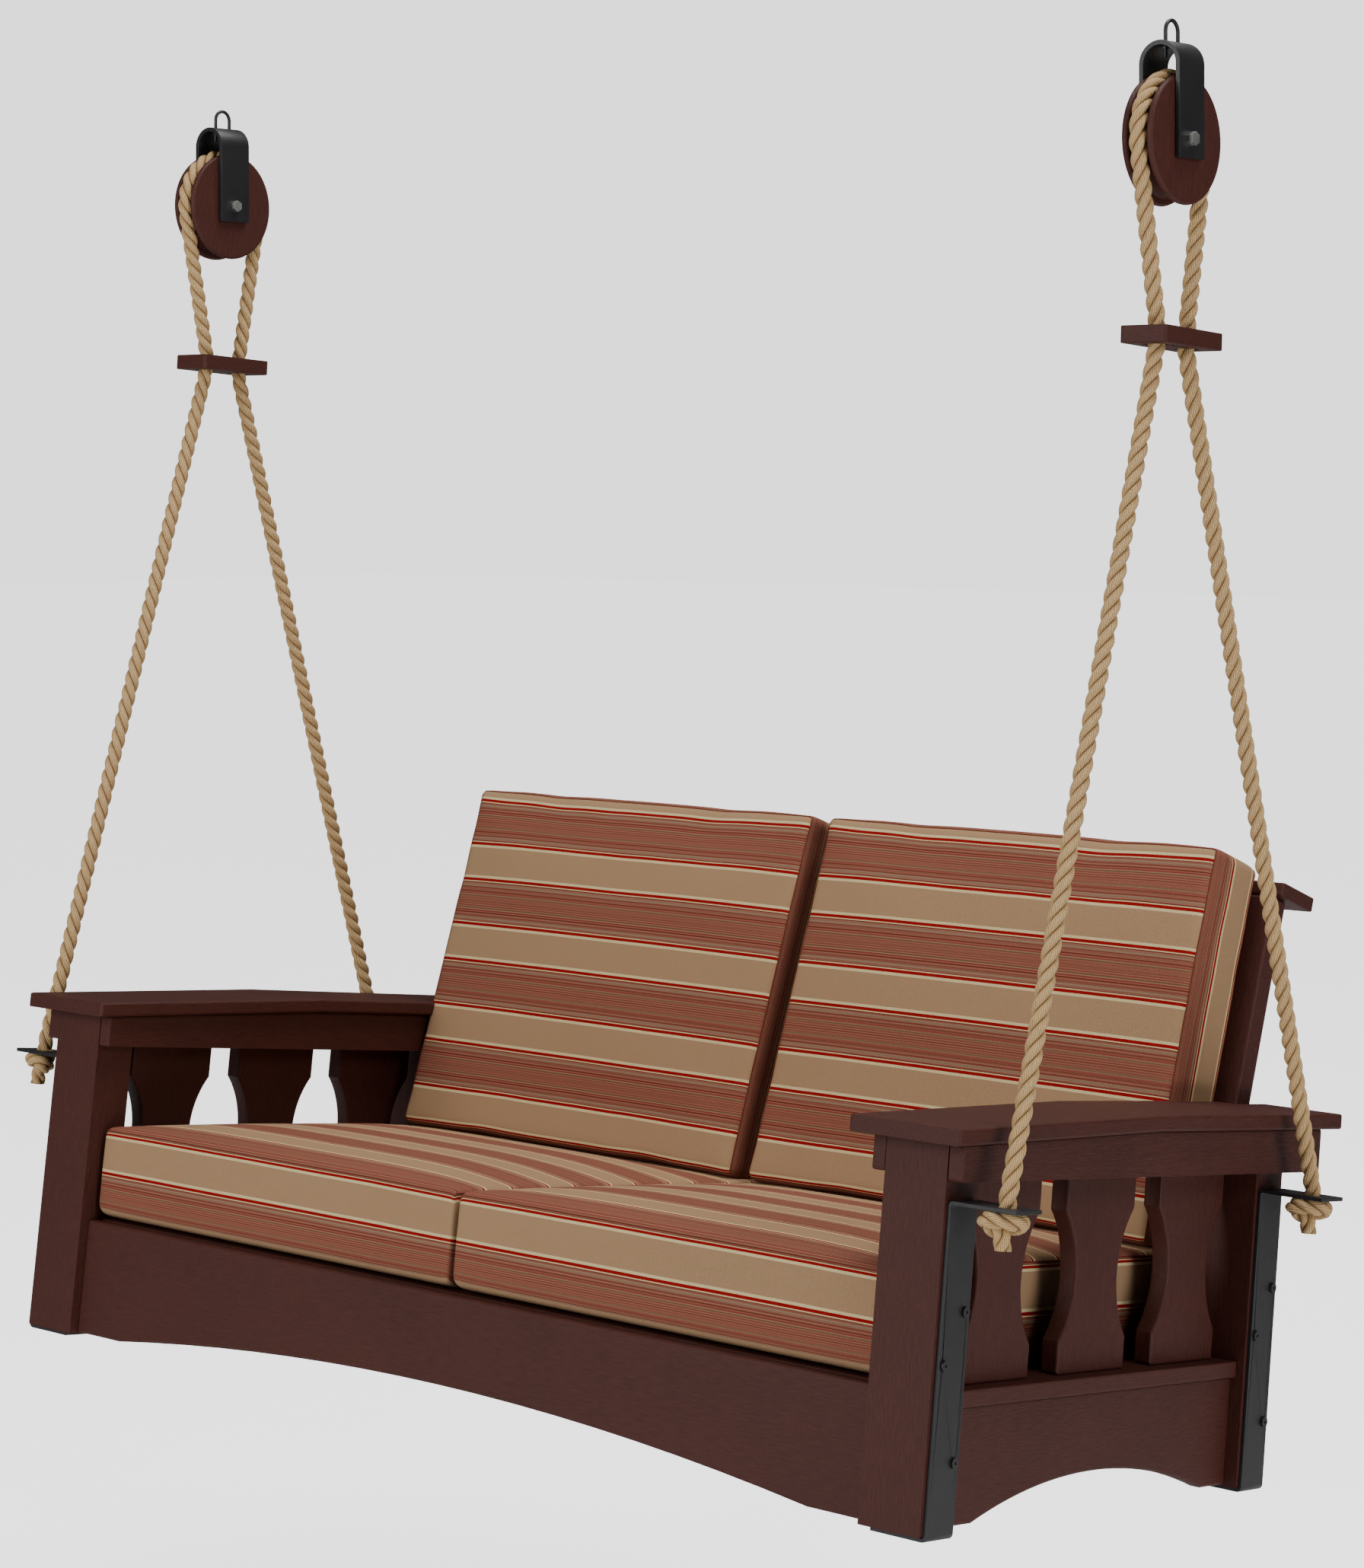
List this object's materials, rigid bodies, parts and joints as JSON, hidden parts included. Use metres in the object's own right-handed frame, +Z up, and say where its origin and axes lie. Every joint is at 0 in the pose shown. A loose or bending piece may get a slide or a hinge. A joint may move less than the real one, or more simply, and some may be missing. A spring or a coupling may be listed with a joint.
{
  "type": "porch swing",
  "caption": "Bench porch swing of dark boards with arched aprons, hourglass side slats, loose seat and back cushions, hung by a rope over a pulley at each side.",
  "frame": {"origin": "midway between the two hanging eyes, where their hooks bear", "axes": "+X to the sitter's left seen from the front, +Y to the rear, +Z up; the seat hangs tilted back"},
  "size_m": [1.763, 1.0261, 1.8712],
  "materials": {
    "board": "satin, fine wood grain",
    "black_steel": "satin powder coat",
    "zinc_steel": "zinc plated",
    "bronze": "plain bush",
    "rope": "three-strand laid rope",
    "cushion_fabric": "woven stripes, tan, cream, red and olive"
  },
  "bodies": {
    "hangers": {"u_bolt_left": "black_steel", "u_bolt_right": "black_steel", "eye_nuts_left": "black_steel", "eye_nuts_right": "black_steel", "clevis_left": "black_steel", "clevis_right": "black_steel", "axle_bolt_left": "zinc_steel", "axle_bolt_right": "zinc_steel", "axle_nut_left": "zinc_steel", "axle_nut_right": "zinc_steel", "bush_left": "bronze", "bush_right": "bronze"},
    "suspension": {"rope_left": "rope", "rope_right": "rope", "spreader_left": "board", "spreader_right": "board"},
    "wheel_left": {"sheave_core_left": "board", "sheave_cheeks_left": "board"},
    "wheel_right": {"sheave_core_right": "board", "sheave_cheeks_right": "board"},
    "seat": {"knots_left": "rope", "front_bracket_left": "black_steel", "rear_bracket_left": "black_steel", "front_post_left": "board", "rear_post_left": "board", "arm_left": "board", "outer_rail_left": "board", "inner_rail_left": "board", "side_slats_left": "board", "shelf_left": "board", "side_apron_left": "board", "back_post_left": "board", "knots_right": "rope", "front_bracket_right": "black_steel", "rear_bracket_right": "black_steel", "front_post_right": "board", "rear_post_right": "board", "arm_right": "board", "outer_rail_right": "board", "inner_rail_right": "board", "side_slats_right": "board", "shelf_right": "board", "side_apron_right": "board", "back_post_right": "board", "bracket_screws": "black_steel", "back_post_screws": "zinc_steel", "front_apron": "board", "rear_apron": "board", "seat_cleats": "board", "seat_slats": "board", "back_brace": "board", "lower_back_rail": "board", "upper_back_rail": "board", "back_slats": "board", "cap_rail": "board"},
    "seat_pad_left": {"seat_cushion_left": "cushion_fabric"},
    "back_pad_left": {"back_cushion_left": "cushion_fabric"},
    "seat_pad_right": {"seat_cushion_right": "cushion_fabric"},
    "back_pad_right": {"back_cushion_right": "cushion_fabric"}
  },
  "joints": [
    {"name": "swing", "type": "hinge", "parent": "hangers", "child": "suspension", "pos_m": [0, 0, -0.1434], "axis": [1, 0, 0], "range_deg": [-20, 20]},
    {"name": "seat_tilt", "type": "hinge", "parent": "suspension", "child": "seat", "pos_m": [0, 0, -1.44], "axis": [1, 0, 0], "range_deg": [-6, 9], "deforming": ["rope_left", "rope_right"]},
    {"name": "wheel_left_spin", "type": "hinge", "parent": "suspension", "child": "wheel_left", "pos_m": [-0.844, 0, -0.1434], "axis": [1, 0, 0], "range_deg": [-40, 60]},
    {"name": "wheel_right_spin", "type": "hinge", "parent": "suspension", "child": "wheel_right", "pos_m": [0.844, 0, -0.1434], "axis": [1, 0, 0], "range_deg": [-40, 60]},
    {"name": "seat_pad_left_out", "type": "slide", "parent": "seat", "child": "seat_pad_left", "axis": [0, -0.9912, 0.1321], "range_m": [0, 0.25]},
    {"name": "seat_pad_right_out", "type": "slide", "parent": "seat", "child": "seat_pad_right", "axis": [0, -0.9912, 0.1321], "range_m": [0, 0.25]},
    {"name": "back_pad_left_out", "type": "slide", "parent": "seat", "child": "back_pad_left", "axis": [0, -0.9403, 0.3402], "range_m": [0, 0.2]},
    {"name": "back_pad_right_out", "type": "slide", "parent": "seat", "child": "back_pad_right", "axis": [0, -0.9403, 0.3402], "range_m": [0, 0.2]}
  ],
  "couplings": [
    {"joint": "wheel_left_spin", "follows": "seat_tilt", "ratio": 4.35},
    {"joint": "wheel_right_spin", "follows": "seat_tilt", "ratio": 4.35}
  ]
}
